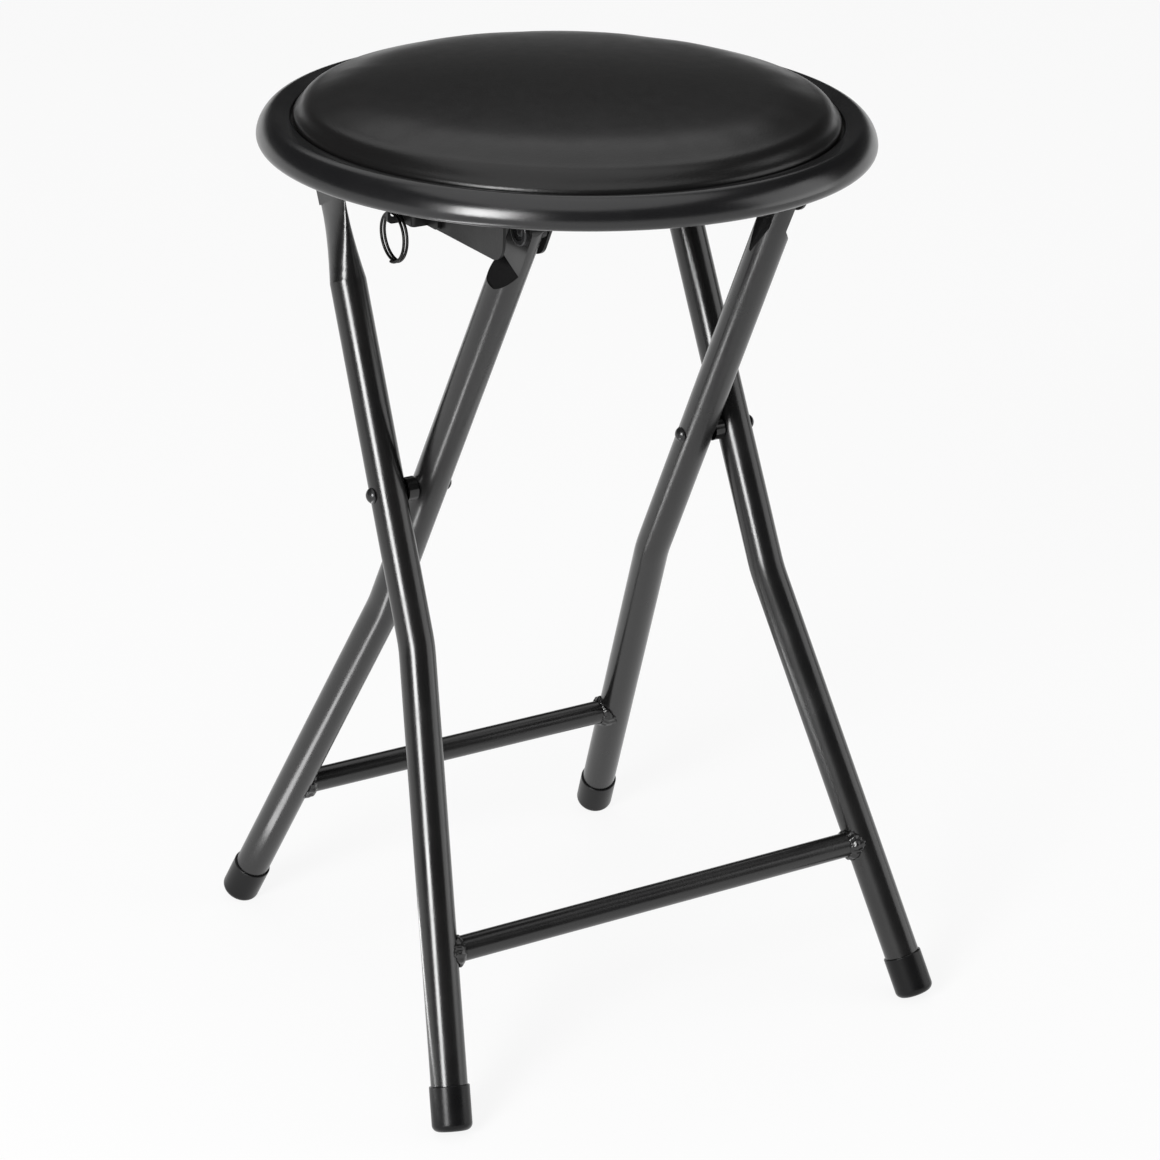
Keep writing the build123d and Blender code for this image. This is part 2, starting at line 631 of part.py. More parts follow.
def spring_anchor():
    """Angle riveted to the rail, which holds the fixed end of the latch spring."""
    z_pair = (spring_z - ANCHOR_WIDTH / 2, spring_z + ANCHOR_WIDTH / 2)
    rear = ANCHOR_Y + LATCH_SHEET
    top = spring_x + SPRING_TAB_WIDTH / 2
    wall = block(rail_face_x, top, ANCHOR_Y, rear, *z_pair)
    foot = block(rail_face_x, rail_face_x + RAIL_SHEET, rear, rear + ANCHOR_FOOT, *z_pair)
    return mirror_to(wall + foot - latch_rivet_hole(anchor_hole_y, spring_z), LATCH_SIDE)


def anchor_rivet():
    head_x = rail_face_x + RAIL_SHEET
    shank = bar_x(flange_outer_x, head_x, anchor_hole_y, spring_z, GUIDE_DIAMETER / 2)
    head = dome_x(head_x, anchor_hole_y, spring_z, ANCHOR_HEAD_DIAMETER / 2, GUIDE_HEAD_HEIGHT, 1)
    return mirror_to(shank + head, LATCH_SIDE)


def coil_arcs(turns, radius, pitch, place):
    """Half-turn arcs of a coil about the local X axis, from place's origin along +X."""
    def point(half_turns):
        angle = pi * half_turns
        across = Vector(0, sin(angle), cos(angle)) * radius
        return place.from_local_coords(across + Vector(pitch * half_turns / 2, 0, 0))

    return [ThreePointArc(point(i), point(i + 0.5), point(i + 1)) for i in range(2 * turns)]


def end_lead(corner, along, out, length):
    """Bend from the coil's end into a straight run that leaves it along out."""
    bend = SPRING_END_BEND
    middle = corner + along * bend * sin(pi / 4) + out * bend * (1 - cos(pi / 4))
    bend_end = corner + (along + out) * bend
    return ThreePointArc(corner, middle, bend_end), Line(bend_end, bend_end + out * (length - bend))


def least_gap(path, half_turns, wire):
    """Smallest clear gap between turns of a wire, measured on points half a turn or more apart."""
    steps = 12
    count = half_turns * steps
    points = [path @ (i / count) for i in range(count + 1)]
    gaps = [
        (points[i] - points[j]).length
        for i in range(count + 1)
        for j in range(i + steps, count + 1)
    ]
    return round(min(gaps) - wire, 2)


def latch_spring():
    """Extension spring above the latch plate, from its tab back to the anchor."""
    front = HANDLE_REAR + STUD_FIT
    rear = ANCHOR_Y - STUD_FIT
    coil_length = rear - front - 2 * SPRING_END
    pitch = coil_length / SPRING_TURNS
    origin = Vector(LATCH_SIDE * spring_x, front + SPRING_END, spring_z)
    place = Plane(origin, x_dir=(0, 1, 0), z_dir=(0, 0, 1))
    arcs = coil_arcs(SPRING_TURNS, SPRING_MEAN_RADIUS, pitch, place)
    out = Vector(0, 1, 0)
    start_lead = end_lead(arcs[0] @ 0, (arcs[0] % 0) * -1, out * -1, SPRING_END)
    stop_lead = end_lead(arcs[-1] @ 1, arcs[-1] % 1, out, SPRING_END)
    path = Curve() + [*start_lead, *arcs, *stop_lead]
    path = Wire(path.edges())
    print("latch spring, least gap between turns", least_gap(path, 2 * SPRING_TURNS, SPRING_WIRE))
    return sweep(Plane(path @ 0, z_dir=path % 0) * Circle(SPRING_WIRE / 2), path)


def pull_ring():
    """Split ring of two wire turns, hanging through the latch plate's ear."""
    radius = (RING_OUTER_DIAMETER - RING_WIRE) / 2
    wire_drop = (EAR_HOLE_DIAMETER - RING_PITCH - RING_WIRE) / 2 - RING_FIT
    centre_z = ear_hole_z - wire_drop - radius
    start_x = LATCH_SIDE * ear_hole_x - RING_PITCH * RING_TURNS / 2
    place = Plane((start_x, EAR_Y, centre_z), x_dir=(1, 0, 0), z_dir=(0, 0, -1))
    arcs = coil_arcs(RING_TURNS, radius, RING_PITCH, place)
    path = Wire((Curve() + arcs).edges())
    print("pull ring, least gap between turns", least_gap(path, 2 * RING_TURNS, RING_WIRE))
    return sweep(Plane(path @ 0, z_dir=path % 0) * Circle(RING_WIRE / 2), path)


def seat_board():
    board = Pos(0, 0, BOARD_UNDERSIDE_Z + BOARD_THICKNESS / 2) * Cylinder(board_r, BOARD_THICKNESS)
    for side in (-1, 1):
        for y in screw_ys:
            hole = Cylinder(SCREW_DIAMETER / 2, SCREW_BITE)
            board -= Pos(side * rail_mid_x, y, BOARD_UNDERSIDE_Z + SCREW_BITE / 2) * hole
    return board


def seat_rim():
    """Moulded ring round the board: its bulge widest low down, a lip inside that laps over the board."""
    top = rim_bottom_z + RIM_HEIGHT
    crest_r = seat_r - RIM_CREST_WIDTH
    belly_z = rim_bottom_z + RIM_LOWER_ROUND
    foot_r = seat_r - RIM_LOWER_ROUND
    bore = board_r + BOARD_FIT
    lip_top = top - RIM_LIP_DIP
    corner = 1 - cos(pi / 4)
    lip_corner = RIM_LIP_ROUND * corner
    lip_r = rim_inner_r + RIM_LIP_ROUND
    lip_low = lip_top - RIM_LIP_ROUND
    low_corner = (seat_r - RIM_LOWER_ROUND * corner, rim_bottom_z + RIM_LOWER_ROUND * corner)
    profile = outline_of(
        Line((bore, rim_bottom_z), (foot_r, rim_bottom_z)),
        ThreePointArc((foot_r, rim_bottom_z), low_corner, (seat_r, belly_z)),
        EllipticalCenterArc((crest_r, belly_z), RIM_CREST_WIDTH, top - belly_z, arc_size=90),
        Line((crest_r, top), (lip_r, lip_top)),
        ThreePointArc(
            (lip_r, lip_top), (rim_inner_r + lip_corner, lip_top - lip_corner), (rim_inner_r, lip_low)
        ),
        Line((rim_inner_r, lip_low), (rim_inner_r, board_top_z)),
        Line((rim_inner_r, board_top_z), (bore, board_top_z)),
        Line((bore, board_top_z), (bore, rim_bottom_z)),
    )
    return revolve(Plane.XZ * profile, Axis.Z)


def cushion_form(inset):
    """Crowned pad on the board, drawn in at its edge, smaller all round by inset."""
    edge_r = rim_inner_r - CUSHION_FIT - inset
    wall_z = board_top_z + CUSHION_WALL - inset / 2
    shoulder = (edge_r - CUSHION_EDGE_WIDTH, wall_z + CUSHION_EDGE_RISE - inset / 2)
    crown_z = shoulder[1] + CUSHION_CROWN_RISE
    crown_r = (shoulder[0] ** 2 + CUSHION_CROWN_RISE**2) / (2 * CUSHION_CROWN_RISE)
    half_angle = atan2(shoulder[0], crown_r - CUSHION_CROWN_RISE) / 2
    crown_mid = (crown_r * sin(half_angle), crown_z - crown_r * (1 - cos(half_angle)))
    slope = 2 * half_angle
    edge = TangentArc(shoulder, (edge_r, wall_z), tangent=(cos(slope), -sin(slope)))
    profile = outline_of(
        Line((0, board_top_z), (edge_r, board_top_z)),
        Line((edge_r, board_top_z), (edge_r, wall_z)),
        edge,
        ThreePointArc(shoulder, crown_mid, (0, crown_z)),
        Line((0, crown_z), (0, board_top_z)),
    )
    return revolve(Plane.XZ * profile, Axis.Z)


def export(name, shape):
    shape.label = name
    export_step(shape, f"parts/{name}.step")


SIDES = {"left": -1, "right": 1}
for side_name, side in SIDES.items():
    export(f"outer_{side_name}_leg", outer_leg(side))
    export(f"outer_{side_name}_foot_cap", foot_cap(outer_line(side)))
    export(f"inner_{side_name}_leg", inner_leg(side))
    export(f"inner_{side_name}_foot_cap", foot_cap(inner_line(side)))
    export(f"{side_name}_pivot_rivet", pivot_rivet(side))
    export(f"{side_name}_pivot_spacer", pivot_spacer(side))
    export(f"{side_name}_hinge_rivet", hinge_rivet(side))
    export(f"{side_name}_hinge_bush", hinge_bush(side))
    export(f"{side_name}_lock_stud", lock_stud(side))
    export(f"{side_name}_rail", rail(side))

export("outer_stretcher", stretcher(outer_line, OUTER_STRETCHER_Z))
export("inner_stretcher", stretcher(inner_line, INNER_STRETCHER_Z))
export("outer_weld_beads", welds(outer_line, OUTER_STRETCHER_Z))
export("inner_weld_beads", welds(inner_line, INNER_STRETCHER_Z))
export("rail_screws", rail_screws())
export("latch_plate", latch_plate())
export("latch_guide_rivets", guide_rivets())
export("spring_anchor", spring_anchor())
export("anchor_rivet", anchor_rivet())
export("latch_spring", latch_spring())
export("pull_ring", pull_ring())
export("seat_board", seat_board())
export("seat_rim", seat_rim())
foam = cushion_form(COVER_THICKNESS)
export("seat_foam", foam)
export("seat_cover", cushion_form(0) - foam)
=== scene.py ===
import math

import bmesh
import bpy
from mathutils import Matrix, Quaternion, Vector, noise


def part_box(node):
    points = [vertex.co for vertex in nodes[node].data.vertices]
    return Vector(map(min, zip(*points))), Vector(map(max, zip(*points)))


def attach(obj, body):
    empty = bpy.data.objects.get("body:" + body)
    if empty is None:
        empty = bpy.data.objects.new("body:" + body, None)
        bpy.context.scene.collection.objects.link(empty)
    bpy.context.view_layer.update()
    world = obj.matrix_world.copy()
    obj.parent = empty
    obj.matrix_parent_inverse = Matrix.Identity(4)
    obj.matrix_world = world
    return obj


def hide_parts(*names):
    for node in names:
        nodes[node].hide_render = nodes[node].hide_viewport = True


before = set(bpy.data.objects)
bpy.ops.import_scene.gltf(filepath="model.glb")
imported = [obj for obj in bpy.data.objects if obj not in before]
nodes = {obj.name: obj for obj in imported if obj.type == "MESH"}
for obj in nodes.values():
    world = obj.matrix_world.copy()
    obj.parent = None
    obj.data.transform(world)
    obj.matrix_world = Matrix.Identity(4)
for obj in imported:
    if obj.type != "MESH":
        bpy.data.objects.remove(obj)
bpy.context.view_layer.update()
scene = bpy.context.scene

# Camera: place and aim in metres, from the photograph's perspective
CAMERA_PLACE = Vector((-0.91843, -1.47313, 0.93425))
CAMERA_AIM = Vector((0.00952, -0.00602, 0.21266))
CAMERA_ROLL = math.radians(1.364)
CAMERA_LENS = 114.99
SENSOR_WIDTH = 36.0

# Studio
FLOOR_RADIUS = 400.0
FLOOR_SIDES = 64
FLOOR_GREY = 0.85
FLOOR_GLOW = 0.88
WORLD_GREY = 0.035
HORIZON_GREY = 0.80
HORIZON_LOW = 0.02
HORIZON_HIGH = 0.10

# Lamps: sun strength and angles, then name, place, aim, size in metres and power in watts
SUN_STRENGTH = 1.2
SUN_SPREAD = math.radians(70)
SUN_TURN = (math.radians(8), math.radians(-6), 0)
SOFTBOXES = (
    ("key_strip", (-1.9, -1.05, 1.05), (0, 0, 0.4), (0.7, 1.1), 56),
    ("right_fill", (1.9, -1.2, 0.9), (0, 0, 0.3), (1.6, 1.8), 14),
    ("back_light", (0.6, 1.6, 2.5), (0, 0, 0.45), (2.6, 1.6), 11),
)

# Small lamp on the floor at the left, facing up: thin bright lines along the legs
GLOW_PLACE = (-0.235, -0.036, 0.004)
GLOW_TURN = (math.pi, 0, math.radians(-28))
GLOW_SIZE = (0.05, 0.32)
GLOW_POWER = 0.4

# Spans of a noise texture that a changing value or colour follows
VALUE_FROM, VALUE_TO = 0.3, 0.7
COLOUR_FROM, COLOUR_TO = 0.35, 0.65

# Cushion: edge drawn in by EDGE_WIDTH, crown CROWN_RISE above its shoulder
CUSHION_STEPS = 96
CUSHION_OUT = 0.0004
CUSHION_CAP = 0.0025
CUSHION_EVEN = 0.85
CUSHION_LIFT = 0.0008
CLOTH_FRAMES = 20
CLOTH_PRESSURE = 4.0
TUCK_WIDTH = 0.004
TUCK_HEIGHT = 0.0012
WALL_HEIGHT = 0.0042
HELD_WALL = 1.05
EDGE_WIDTH = 0.010
EDGE_STEPS = 9
CROWN_RISE = 0.0065
CROWN_STEPS = 12

# Seat rim: widest low down, from there leaning in to its crest
RIM_STEPS = 20
FOOT_STEPS = 8
LIP_STEPS = 4
ROUND_STEPS = 192
RIM_LOWER_ROUND = 0.0045
RIM_POWER = 1.7
RIM_DROP = 0.0018
FOOT_LIFT = 0.0010
RIM_CREST_WIDTH = 0.0085
LIP_DIP = 0.0016
LIP_ROUND = 0.001
LIP_GAP = 0.0013
RIM_FIT = 0.0003

# Weld beads: ripples round the stretcher that wander a little, and smaller drops
BEAD_VOXEL = 0.0006
BEAD_LUMPS = 13
BEAD_SWELL = 0.00045
BEAD_WANDER = 2.5
WANDER_SCALE = 160
RIGHT_SHIFT = 2
DROP_SCALE = 430
DROP_OFFSET = Vector((7, 3, 1))
RIPPLE_SHARE = 0.55
DROP_SHARE = 0.9


def new_material(name, colour, roughness, metallic=0.0, specular=0.5):
    """Principled material with its plain values set on the shader's own sockets."""
    material = bpy.data.materials.new(name)
    material.use_nodes = True
    shader = material.node_tree.nodes["Principled BSDF"]
    shader.inputs["Base Color"].default_value = (*colour, 1)
    shader.inputs["Roughness"].default_value = roughness
    shader.inputs["Metallic"].default_value = metallic
    shader.inputs["Specular IOR Level"].default_value = specular
    return material


def add_node(material, kind, **values):
    """New shader node, with values for its sockets or its settings."""
    node = material.node_tree.nodes.new(kind)
    for name, value in values.items():
        if name in node.inputs:
            node.inputs[name].default_value = value
        else:
            setattr(node, name, value)
    return node


def link(material, output, target):
    material.node_tree.links.new(output, target)


def noise_of(material, scale, detail=2.0, stretch=(1, 1, 1)):
    """Noise in object space, so that it needs no UVs and moves with the piece."""
    place = add_node(material, "ShaderNodeTexCoord")
    mapping = add_node(material, "ShaderNodeMapping", Scale=stretch)
    texture = add_node(material, "ShaderNodeTexNoise", Scale=scale, Detail=detail)
    link(material, place.outputs["Object"], mapping.inputs["Vector"])
    link(material, mapping.outputs["Vector"], texture.inputs["Vector"])
    return texture


def vary(material, texture, low, high, socket):
    """Drive a shader socket between two values by a texture."""
    shader = material.node_tree.nodes["Principled BSDF"]
    span = add_node(material, "ShaderNodeMapRange")
    span.inputs["From Min"].default_value = VALUE_FROM
    span.inputs["From Max"].default_value = VALUE_TO
    span.inputs["To Min"].default_value = low
    span.inputs["To Max"].default_value = high
    link(material, texture.outputs[0], span.inputs["Value"])
    link(material, span.outputs["Result"], shader.inputs[socket])


def tint(material, texture, dark, light):
    """Drive the base colour between two colours by a texture."""
    shader = material.node_tree.nodes["Principled BSDF"]
    ramp = add_node(material, "ShaderNodeValToRGB")
    ramp.color_ramp.elements[0].position = COLOUR_FROM
    ramp.color_ramp.elements[0].color = (*dark, 1)
    ramp.color_ramp.elements[1].position = COLOUR_TO
    ramp.color_ramp.elements[1].color = (*light, 1)
    link(material, texture.outputs[0], ramp.inputs["Fac"])
    link(material, ramp.outputs["Color"], shader.inputs["Base Color"])


def emboss(material, height, strength, distance):
    """Bump from a height socket, stacked on any bump that is already there."""
    shader = material.node_tree.nodes["Principled BSDF"]
    bump = add_node(material, "ShaderNodeBump", Strength=strength, Distance=distance)
    link(material, height, bump.inputs["Height"])
    before = shader.inputs["Normal"].links
    if before:
        link(material, before[0].from_socket, bump.inputs["Normal"])
    link(material, bump.outputs["Normal"], shader.inputs["Normal"])


def powder_coat():
    """Satin black powder coat with a faint orange peel."""
    material = new_material("powder_coat", (0.006, 0.006, 0.0063), 0.24, specular=0.62)
    peel = noise_of(material, 900, 1.0)
    emboss(material, peel.outputs[0], 0.05, 0.0004)
    vary(material, noise_of(material, 45, 3.0), 0.20, 0.28, "Roughness")
    clouds = noise_of(material, 12, 2.0)
    tint(material, clouds, (0.005, 0.005, 0.0053), (0.008, 0.0078, 0.0078))
    return material


def sheet_paint():
    """Black paint on pressed sheet steel, a little duller than the tubes."""
    material = new_material("sheet_paint", (0.005, 0.005, 0.005), 0.36, specular=0.3)
    emboss(material, noise_of(material, 700, 2.0).outputs[0], 0.08, 0.0004)
    vary(material, noise_of(material, 60, 3.0), 0.28, 0.42, "Roughness")
    return material


def rivet_black():
    """Blackened steel rivets, their gloss varying a little from place to place."""
    material = new_material("rivet_black", (0.035, 0.035, 0.036), 0.26, metallic=0.6)
    vary(material, noise_of(material, 300, 3.0), 0.18, 0.34, "Roughness")
    emboss(material, noise_of(material, 600, 2.0).outputs[0], 0.06, 0.0003)
    return material


def nylon():
    """Smooth black nylon of the spacers and bushes."""
    material = new_material("nylon", (0.005, 0.005, 0.005), 0.15)
    vary(material, noise_of(material, 200, 2.0), 0.11, 0.19, "Roughness")
    return material


def cap_plastic():
    """Moulded polyethylene of the foot caps, with a soft moulded grain."""
    material = new_material("cap_plastic", (0.004, 0.004, 0.0043), 0.30, specular=0.25)
    emboss(material, noise_of(material, 1400, 2.0).outputs[0], 0.05, 0.0003)
    vary(material, noise_of(material, 80, 3.0), 0.26, 0.34, "Roughness")
    return material


def rim_plastic():
    """Smooth moulded rim, with slow waves in its gloss."""
    material = new_material("rim_plastic", (0.007, 0.007, 0.0075), 0.24, specular=0.6)
    vary(material, noise_of(material, 35, 3.0), 0.21, 0.27, "Roughness")
    emboss(material, noise_of(material, 500, 2.0).outputs[0], 0.03, 0.0004)
    return material


def vinyl():
    """Fine-grained vinyl: small pebbles, crossed by faint streaks of the backing."""
    material = new_material("vinyl", (0.007, 0.0068, 0.0068), 0.31, specular=0.38)
    place = add_node(material, "ShaderNodeTexCoord")
    pebbles = add_node(material, "ShaderNodeTexVoronoi", Scale=1100)
    pebbles.feature = "SMOOTH_F1"
    link(material, place.outputs["Object"], pebbles.inputs["Vector"])
    emboss(material, pebbles.outputs["Distance"], 0.08, 0.0005)
    streaks = noise_of(material, 260, 3.0, (1, 5, 1))
    emboss(material, streaks.outputs[0], 0.05, 0.0005)
    vary(material, noise_of(material, 120, 3.0), 0.29, 0.33, "Roughness")
    clouds = noise_of(material, 18, 3.0)
    tint(material, clouds, (0.0064, 0.0062, 0.0062), (0.0077, 0.0074, 0.0074))
    return material


def bright_steel():
    """Zinc plated screws."""
    material = new_material("bright_steel", (0.50, 0.50, 0.49), 0.32, metallic=1.0)
    vary(material, noise_of(material, 500, 3.0), 0.24, 0.42, "Roughness")
    clouds = noise_of(material, 160, 3.0)
    tint(material, clouds, (0.42, 0.42, 0.40), (0.56, 0.56, 0.55))
    return material


def dark_wire():
    """Blackened spring wire of the pull ring and the latch spring."""
    material = new_material("dark_wire", (0.022, 0.022, 0.022), 0.42, metallic=1.0)
    vary(material, noise_of(material, 400, 3.0), 0.36, 0.48, "Roughness")
    clouds = noise_of(material, 250, 3.0)
    tint(material, clouds, (0.016, 0.016, 0.016), (0.030, 0.029, 0.028))
    return material


def board_paint():
    """Fibreboard under the seat, stained black, with its fibres showing."""
    material = new_material("board_paint", (0.016, 0.015, 0.014), 0.62)
    fibres = noise_of(material, 420, 4.0, (1, 2.5, 1))
    emboss(material, fibres.outputs[0], 0.25, 0.0005)
    tint(material, fibres, (0.011, 0.0105, 0.010), (0.024, 0.022, 0.020))
    return material


def dress(material, names):
    """Give shown CAD nodes a material."""
    for name in names:
        mesh = nodes[name].data
        mesh.materials.clear()
        mesh.materials.append(material)


def mesh_piece(name, build_mesh, material, body, replaced):
    """New piece from a bmesh, riding on a body in place of CAD nodes."""
    mesh = bpy.data.meshes.new(name)
    build_mesh.normal_update()
    build_mesh.to_mesh(mesh)
    build_mesh.free()
    piece = bpy.data.objects.new(name, mesh)
    scene.collection.objects.link(piece)
    mesh.materials.append(material)
    for face in mesh.polygons:
        face.use_smooth = True
    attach(piece, body)
    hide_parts(*replaced)
    return piece


def lathe(profile, closed, steps):
    """Mesh turned about the Z axis from a profile of (radius, height) points."""
    build = bmesh.new()
    angles = [2 * math.pi * i / steps for i in range(steps)]
    rings = []
    for radius, height in profile:
        if radius < 1e-6:
            rings.append([build.verts.new((0, 0, height))])
            continue
        ring = [(radius * math.cos(a), radius * math.sin(a), height) for a in angles]
        rings.append([build.verts.new(place) for place in ring])
    pairs = list(zip(rings, rings[1:]))
    if closed:
        pairs.append((rings[-1], rings[0]))
    for low, high in pairs:
        for i in range(steps):
            j = (i + 1) % steps
            below = (low[i % len(low)], low[j % len(low)])
            above = (high[j % len(high)], high[i % len(high)])
            build.faces.new(list(dict.fromkeys(below + above)))
    bmesh.ops.recalc_face_normals(build, faces=build.faces)
    return build


def arc_points(centre, radius, start, stop, steps):
    """Points on an arc in a (radius, height) profile, angles in degrees."""
    points = []
    for i in range(steps + 1):
        angle = math.radians(start + (stop - start) * i / steps)
        out, up = radius * math.cos(angle), radius * math.sin(angle)
        points.append((centre[0] + out, centre[1] + up))
    return points


def cushion_profile():
    """Crowned profile of the seat pad, from the axis out below and back above."""
    low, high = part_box("seat_cover")
    edge_r = high.x + CUSHION_OUT
    base_z = low.z
    crown_z = high.z + CUSHION_LIFT
    wall_z = base_z + WALL_HEIGHT
    shoulder_r = edge_r - EDGE_WIDTH
    shoulder_z = crown_z - CROWN_RISE
    ball_r = (shoulder_r**2 + CROWN_RISE**2) / (2 * CROWN_RISE)
    points = [(0, base_z), (edge_r - TUCK_WIDTH, base_z)]
    points += [(edge_r, base_z + TUCK_HEIGHT), (edge_r, wall_z)]
    for i in range(1, EDGE_STEPS):
        turn = math.pi / 2 * i / EDGE_STEPS
        height = wall_z + (shoulder_z - wall_z) * math.sin(turn)
        points.append((shoulder_r + EDGE_WIDTH * math.cos(turn), height))
    for i in range(CROWN_STEPS + 1):
        radius = shoulder_r * (1 - i / CROWN_STEPS)
        points.append((radius, crown_z - ball_r + math.sqrt(ball_r**2 - radius**2)))
    return points


def bake(piece):
    """Give the piece the mesh that its modifiers make, and leave no modifier on it."""
    graph = bpy.context.evaluated_depsgraph_get()
    result = bpy.data.meshes.new_from_object(piece.evaluated_get(graph))
    piece.modifiers.clear()
    piece.data = result


def remesh(piece, voxel):
    """Even grid of faces over the piece, fine enough to carry ripples."""
    modifier = piece.modifiers.new("remesh", "REMESH")
    modifier.mode = "VOXEL"
    modifier.voxel_size = voxel
    modifier.use_smooth_shade = True
    bake(piece)


def even_out(piece, start):
    """Draw each ring of a turned piece most of the way to its mean, against pleats."""
    rings = {}
    for vert, place in zip(piece.data.vertices, start):
        key = (round(math.hypot(place.x, place.y), 5), round(place.z, 5))
        rings.setdefault(key, []).append(vert)
    for ring in rings.values():
        mean_r = sum(math.hypot(vert.co.x, vert.co.y) for vert in ring) / len(ring)
        mean_z = sum(vert.co.z for vert in ring) / len(ring)
        for vert in ring:
            radius = math.hypot(vert.co.x, vert.co.y)
            if radius > 1e-5:
                grow = 1 + CUSHION_EVEN * (mean_r / radius - 1)
                vert.co.x *= grow
                vert.co.y *= grow
            vert.co.z += CUSHION_EVEN * (mean_z - vert.co.z)


def swell(piece, held_below):
    """Blow the cover up over its foam, its edge held and each move under the cap."""
    start = [vert.co.copy() for vert in piece.data.vertices]
    edge = [i for i, place in enumerate(start) if place.z < held_below]
    held = piece.vertex_groups.new(name="held")
    held.add(edge, 1.0, "REPLACE")
    cloth = piece.modifiers.new("cloth", "CLOTH")
    cloth.settings.vertex_group_mass = "held"
    cloth.settings.use_pressure = True
    cloth.settings.uniform_pressure_force = CLOTH_PRESSURE
    cloth.settings.effector_weights.gravity = 0
    cloth.point_cache.frame_end = CLOTH_FRAMES
    for step in range(1, CLOTH_FRAMES + 1):
        scene.frame_set(step)
    bake(piece)
    scene.frame_set(1)
    for vert, place in zip(piece.data.vertices, start):
        move = vert.co - place
        if move.length > CUSHION_CAP:
            vert.co = place + move * (CUSHION_CAP / move.length)
    even_out(piece, start)
    finer = piece.modifiers.new("finer", "SUBSURF")
    finer.levels = 1
    bake(piece)


def seat_cushion(material):
    """Vinyl pad in place of the CAD foam and cover."""
    build = lathe(cushion_profile(), False, CUSHION_STEPS)
    replaced = ("seat_foam", "seat_cover")
    piece = mesh_piece("seat_cushion", build, material, "seat", replaced)
    swell(piece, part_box("seat_cover")[0].z + WALL_HEIGHT * HELD_WALL)


def rim_profile():
    """Closed profile of the rim: belly low outside, lip inside over the edge of the board."""
    low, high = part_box("seat_rim")
    board_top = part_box("seat_board")[1]
    foot_z = low.z + FOOT_LIFT
    crest_z = high.z - RIM_DROP
    belly_z = foot_z + RIM_LOWER_ROUND
    crest_r = high.x - RIM_CREST_WIDTH
    bore = board_top.x + RIM_FIT
    lip_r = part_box("seat_cover")[1].x + LIP_GAP
    lip_top = crest_z - LIP_DIP
    foot_centre = (high.x - RIM_LOWER_ROUND, belly_z)
    lip_centre = (lip_r + LIP_ROUND, lip_top - LIP_ROUND)
    points = [(bore, foot_z)]
    points += arc_points(foot_centre, RIM_LOWER_ROUND, -90, 0, FOOT_STEPS)
    for i in range(1, RIM_STEPS + 1):
        turn = math.pi / 2 * i / RIM_STEPS
        out = max(math.cos(turn), 0) ** (2 / RIM_POWER)
        up = math.sin(turn) ** (2 / RIM_POWER)
        height = belly_z + (crest_z - belly_z) * up
        points.append((crest_r + RIM_CREST_WIDTH * out, height))
    points += arc_points(lip_centre, LIP_ROUND, 90, 180, LIP_STEPS)
    points += [(lip_r, board_top.z), (bore, board_top.z)]
    return points


def rim_ring(material):
    """Moulded rim, turned with more steps than the CAD mesh has."""
    build = lathe(rim_profile(), True, ROUND_STEPS)
    mesh_piece("rim_ring", build, material, "seat", ("seat_rim",))


def weld_beads(node, material, body, stretcher):
    """Beads with the ripples and drops of hand welding, laid over the plain CAD beads."""
    piece = bpy.data.objects.new(node + "_laid", nodes[node].data.copy())
    scene.collection.objects.link(piece)
    remesh(piece, BEAD_VOXEL)
    low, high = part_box(stretcher)
    middle = (low + high) / 2
    normals = [vert.normal.copy() for vert in piece.data.vertices]
    for vert, normal in zip(piece.data.vertices, normals):
        ring = math.atan2(vert.co.z - middle.z, vert.co.y - middle.y)
        wander = BEAD_WANDER * noise.noise(vert.co * WANDER_SCALE)
        shift = 0 if vert.co.x < 0 else RIGHT_SHIFT
        ripple = math.cos(BEAD_LUMPS * ring + wander + shift)
        drop = noise.noise(vert.co * DROP_SCALE + DROP_OFFSET)
        vert.co += normal * BEAD_SWELL * (RIPPLE_SHARE * ripple + DROP_SHARE * drop)
    piece.data.materials.clear()
    piece.data.materials.append(material)
    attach(piece, body)
    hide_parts(node)


def floor_paper():
    """White paper: part of its white is its own for what the camera and reflections see."""
    material = new_material("floor_paper", (FLOOR_GREY,) * 3, 0.9, specular=0.0)
    paths = add_node(material, "ShaderNodeLightPath")
    seen = add_node(material, "ShaderNodeMath", operation="MAXIMUM")
    link(material, paths.outputs["Is Camera Ray"], seen.inputs[0])
    link(material, paths.outputs["Is Glossy Ray"], seen.inputs[1])
    through = add_node(material, "ShaderNodeMath", operation="MAXIMUM")
    link(material, seen.outputs[0], through.inputs[0])
    link(material, paths.outputs["Is Transmission Ray"], through.inputs[1])
    share = add_node(material, "ShaderNodeMath", operation="MULTIPLY")
    share.inputs[1].default_value = FLOOR_GLOW
    link(material, through.outputs[0], share.inputs[0])
    glow = add_node(material, "ShaderNodeEmission", Strength=1.0)
    mix = add_node(material, "ShaderNodeMixShader")
    tree = material.node_tree
    link(material, share.outputs[0], mix.inputs[0])
    link(material, tree.nodes["Principled BSDF"].outputs[0], mix.inputs[1])
    link(material, glow.outputs[0], mix.inputs[2])
    link(material, mix.outputs[0], tree.nodes["Material Output"].inputs["Surface"])
    return material


def make_floor():
    """White paper that reaches past the horizon of every view."""
    floor_mesh = bpy.data.meshes.new("floor")
    build = bmesh.new()
    bmesh.ops.create_circle(
        build, cap_ends=True, radius=FLOOR_RADIUS, segments=FLOOR_SIDES
    )
    build.to_mesh(floor_mesh)
    build.free()
    floor = bpy.data.objects.new("floor", floor_mesh)
    scene.collection.objects.link(floor)
    floor_mesh.materials.append(floor_paper())


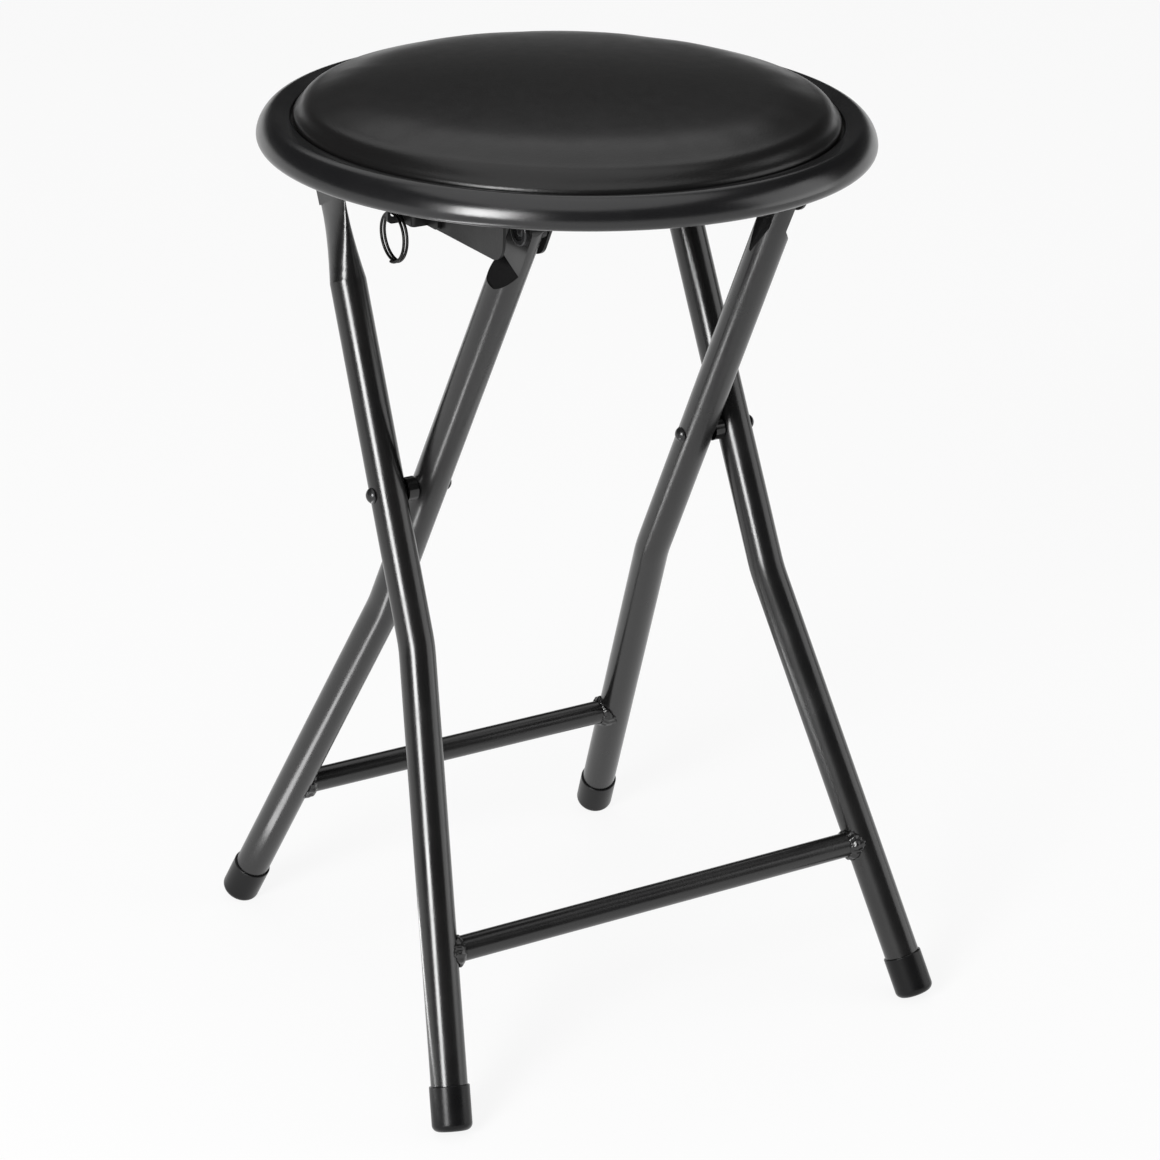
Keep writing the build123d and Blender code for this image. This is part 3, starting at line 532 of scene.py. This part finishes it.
def make_world():
    """Dark studio, pale in a low band at the horizon."""
    world = bpy.data.worlds.new("studio")
    scene.world = world
    world.use_nodes = True
    tree = world.node_tree
    place = tree.nodes.new("ShaderNodeTexCoord")
    parts = tree.nodes.new("ShaderNodeSeparateXYZ")
    fade = tree.nodes.new("ShaderNodeMapRange")
    fade.interpolation_type = "SMOOTHSTEP"
    fade.inputs["From Min"].default_value = HORIZON_LOW
    fade.inputs["From Max"].default_value = HORIZON_HIGH
    fade.inputs["To Min"].default_value = HORIZON_GREY
    fade.inputs["To Max"].default_value = WORLD_GREY
    tree.links.new(place.outputs["Generated"], parts.inputs["Vector"])
    tree.links.new(parts.outputs["Z"], fade.inputs["Value"])
    tree.links.new(fade.outputs["Result"], tree.nodes["Background"].inputs["Color"])


def softbox(name, place, turn, size, power):
    light = bpy.data.lights.new(name, "AREA")
    light.shape = "RECTANGLE"
    light.size, light.size_y = size
    light.energy = power
    lamp = bpy.data.objects.new(name, light)
    lamp.location = place
    lamp.rotation_euler = turn
    lamp.visible_camera = False
    scene.collection.objects.link(lamp)


def make_lights():
    sky = bpy.data.lights.new("overhead", "SUN")
    sky.energy = SUN_STRENGTH
    sky.angle = SUN_SPREAD
    lamp = bpy.data.objects.new("overhead", sky)
    lamp.rotation_euler = SUN_TURN
    scene.collection.objects.link(lamp)
    for name, place, aim, size, power in SOFTBOXES:
        turn = (Vector(aim) - Vector(place)).to_track_quat("-Z", "Y").to_euler()
        softbox(name, place, turn, size, power)
    softbox("table_glow", GLOW_PLACE, GLOW_TURN, GLOW_SIZE, GLOW_POWER)


def make_camera():
    """Camera at the photograph's place, with its small roll."""
    camera = bpy.data.cameras.new("camera")
    camera.lens = CAMERA_LENS
    camera.sensor_width = SENSOR_WIDTH
    rig = bpy.data.objects.new("camera", camera)
    turn = (CAMERA_AIM - CAMERA_PLACE).to_track_quat("-Z", "Y")
    turn = turn @ Quaternion((0, 0, 1), CAMERA_ROLL)
    rig.matrix_world = Matrix.Translation(CAMERA_PLACE) @ turn.to_matrix().to_4x4()
    scene.collection.objects.link(rig)
    scene.camera = rig


paint = powder_coat()
rail_paint = sheet_paint()
dress(paint, [n for n in nodes if n.endswith("_leg") or n.endswith("_stretcher")])
weld_beads("outer_weld_beads", paint, "outer_frame", "outer_stretcher")
weld_beads("inner_weld_beads", paint, "inner_frame", "inner_stretcher")
dress(cap_plastic(), [n for n in nodes if n.endswith("_foot_cap")])
dress(rivet_black(), [n for n in nodes if "rivet" in n or n.endswith("_stud")])
dress(nylon(), [n for n in nodes if n.endswith("_spacer") or n.endswith("_bush")])
dress(rail_paint, ["left_rail", "right_rail", "latch_plate", "spring_anchor"])
dress(bright_steel(), ["rail_screws"])
dress(dark_wire(), ["pull_ring", "latch_spring"])
dress(board_paint(), ["seat_board"])
seat_cushion(vinyl())
rim_ring(rim_plastic())
make_floor()
make_world()
make_lights()
make_camera()
scene.view_settings.view_transform = "Standard"
